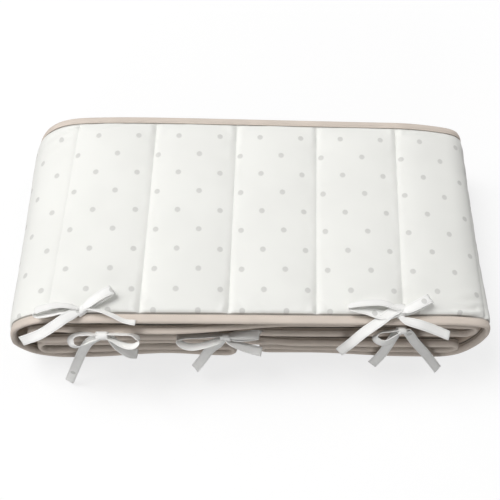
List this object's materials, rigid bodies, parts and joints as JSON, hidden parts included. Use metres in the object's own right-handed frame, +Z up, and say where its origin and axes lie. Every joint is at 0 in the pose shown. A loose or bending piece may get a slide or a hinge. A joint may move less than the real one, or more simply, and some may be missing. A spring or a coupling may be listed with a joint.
{
  "type": "crib bumper",
  "caption": "Long quilted crib bumper with bound edges and tie tapes, folded back and forth into a low oblong pile.",
  "frame": {"origin": "on the surface that the pile lies on, under the middle of the box round the whole part", "axes": "+X along the pile to its right end, -Y out of the front where the bows hang, +Z up"},
  "size_m": [0.5668, 0.309, 0.1442],
  "materials": {
    "white_quilt": "white cotton with small grey dots, matt",
    "beige_band": "plain beige cotton, matt",
    "white_tape": "white cotton tape, matt"
  },
  "bodies": {
    "root": {"pad": "white_quilt", "edge_band": "beige_band", "tie_1": "white_tape", "tie_2": "white_tape", "tie_3": "white_tape", "tie_4": "white_tape", "tie_5": "white_tape"}
  },
  "joints": []
}
